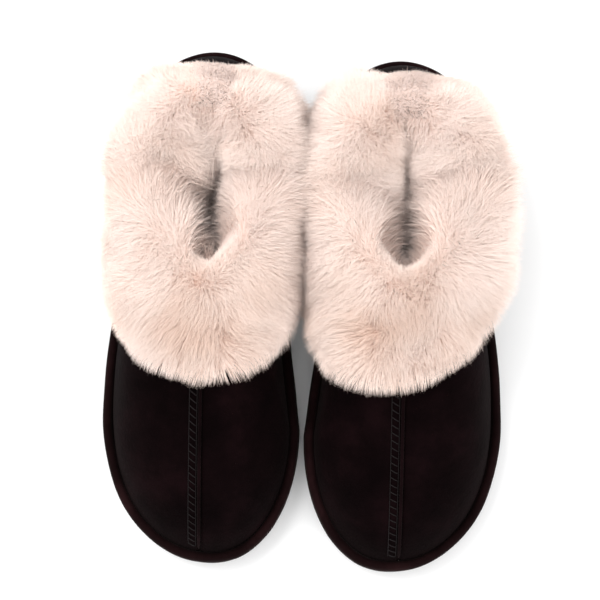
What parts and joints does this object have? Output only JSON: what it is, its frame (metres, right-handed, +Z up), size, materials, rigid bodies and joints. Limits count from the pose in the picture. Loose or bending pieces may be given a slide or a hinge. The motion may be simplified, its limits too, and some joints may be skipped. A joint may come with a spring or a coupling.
{
  "type": "house slippers",
  "caption": "Pair of closed-back house slippers: flat rubber sole, suede-look upper with a raised centre seam, fleece inside and a deep turned-over long-pile plush collar.",
  "frame": {"origin": "on the ground, midway between the two slippers and midway along them (bottom centre of the pair's box)", "axes": "+X from the right slipper to the left one, +Y from the toes to the heels, +Z up"},
  "size_m": [0.201, 0.2624, 0.0929],
  "materials": {
    "outsole_rubber": "matt moulded rubber, near black",
    "midsole_foam": "closed-cell foam, off-white",
    "band": "suede-look wrap, near black with a red-brown cast",
    "insole_board": "pressed fibre board",
    "memory_foam": "open-cell foam",
    "footbed_fleece": "short curly fleece, greyish beige",
    "suede": "brushed suede-look fabric, black, matt",
    "counter": "heel stiffener board",
    "lining_fleece": "short curly fleece, greyish pink beige",
    "binding_tape": "woven tape",
    "thread": "spun thread, black",
    "plush": "long-pile faux fur, pale blush cream, soft sheen"
  },
  "bodies": {
    "right_slipper": {"right_outsole": "outsole_rubber", "right_midsole": "midsole_foam", "right_foxing_band": "band", "right_insole_board": "insole_board", "right_footbed_foam": "memory_foam", "right_footbed_cover": "footbed_fleece", "right_vamp_lateral": "suede", "right_vamp_medial": "suede", "right_quarter_lateral": "suede", "right_quarter_medial": "suede", "right_heel_counter": "counter", "right_back_stay": "suede", "right_vamp_lining": "lining_fleece", "right_quarter_lining": "lining_fleece", "right_topline_binding": "binding_tape", "right_centre_welt": "suede", "right_centre_stitching": "thread", "right_collar_front": "plush", "right_collar_lateral": "plush", "right_collar_medial": "plush"},
    "left_slipper": {"left_outsole": "outsole_rubber", "left_midsole": "midsole_foam", "left_foxing_band": "band", "left_insole_board": "insole_board", "left_footbed_foam": "memory_foam", "left_footbed_cover": "footbed_fleece", "left_vamp_lateral": "suede", "left_vamp_medial": "suede", "left_quarter_lateral": "suede", "left_quarter_medial": "suede", "left_heel_counter": "counter", "left_back_stay": "suede", "left_vamp_lining": "lining_fleece", "left_quarter_lining": "lining_fleece", "left_topline_binding": "binding_tape", "left_centre_welt": "suede", "left_centre_stitching": "thread", "left_collar_front": "plush", "left_collar_lateral": "plush", "left_collar_medial": "plush"}
  },
  "joints": [
    {"name": "left_slipper_lift", "type": "slide", "parent": "right_slipper", "child": "left_slipper", "axis": [0, 0, 1], "range_m": [0, 0.15]}
  ]
}
